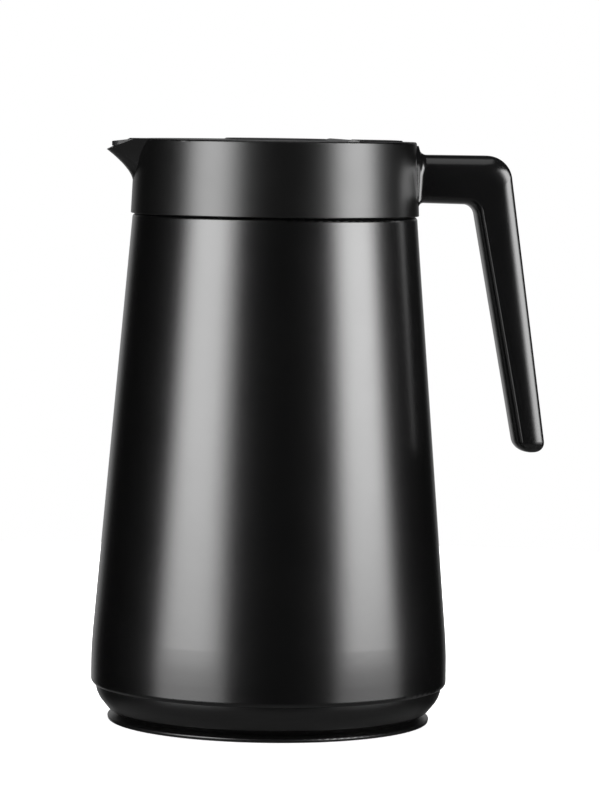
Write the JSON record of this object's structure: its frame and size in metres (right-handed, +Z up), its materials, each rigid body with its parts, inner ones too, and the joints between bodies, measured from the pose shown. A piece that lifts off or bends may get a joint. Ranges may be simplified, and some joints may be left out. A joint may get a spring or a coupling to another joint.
{
  "type": "thermal jug",
  "caption": "Insulated pouring jug: tapered double-walled body, spouted collar, slanted open handle and a flush lid with a hinged flap and a thumb-pressed pouring valve.",
  "frame": {"origin": "on the body's axis, in the plane of the foot that the jug stands on", "axes": "+Z up along the body's axis, +X towards the handle, -X towards the spout"},
  "size_m": [0.1637, 0.1296, 0.2114],
  "materials": {
    "coated_steel": "satin black powder coat",
    "bare_steel": "brushed stainless steel",
    "sealed_steel": "plain stainless steel, not seen",
    "collar_plastic": "finely grained black plastic",
    "handle_plastic": "smooth satin black plastic",
    "base_plastic": "satin black plastic",
    "lid_plastic": "satin black plastic",
    "valve_plastic": "dark grey plastic",
    "silicone": "grey silicone",
    "pin_steel": "turned stainless steel",
    "screw_steel": "zinc plated steel",
    "getter_alloy": "sintered metal"
  },
  "bodies": {
    "jug": {"outer_shell": "coated_steel", "inner_vessel": "bare_steel", "vacuum_pan": "sealed_steel", "seal_off_cap": "sealed_steel", "getter": "getter_alloy", "base_cup": "base_plastic", "foot_plate": "base_plastic", "collar": "collar_plastic", "neck_gasket": "silicone", "handle": "handle_plastic", "handle_screws": "screw_steel"},
    "lid": {"lid_body": "lid_plastic", "lid_gasket": "silicone", "hinge_pin": "pin_steel", "valve_guide": "valve_plastic", "guide_screws": "screw_steel", "valve_spring": "pin_steel"},
    "flap": {"flap": "lid_plastic", "flap_seal": "silicone"},
    "lever": {"thumb_lever": "lid_plastic"},
    "valve": {"valve_stem": "valve_plastic", "valve_seal": "silicone", "stem_cap": "valve_plastic"}
  },
  "joints": [
    {"name": "lid_lift", "type": "slide", "parent": "jug", "child": "lid", "axis": [0, 0, 1], "range_m": [0, 0.06]},
    {"name": "flap_hinge", "type": "hinge", "parent": "lid", "child": "flap", "pos_m": [0.024, 0, 0.20725], "axis": [0, 1, 0], "range_deg": [0, 95]},
    {"name": "lever_press", "type": "hinge", "parent": "lid", "child": "lever", "pos_m": [0.024, 0, 0.20725], "axis": [0, 1, 0], "range_deg": [0, 9.5], "stiffness_Nm_per_rad": 0.25, "springref_deg": -8.59},
    {"name": "valve_lift", "type": "slide", "parent": "lid", "child": "valve", "axis": [0, 0, 1], "range_m": [0, 0.004], "deforming": ["valve_spring"]}
  ],
  "couplings": [
    {"joint": "valve_lift", "follows": "lever_press", "m_per_rad": 0.024}
  ]
}
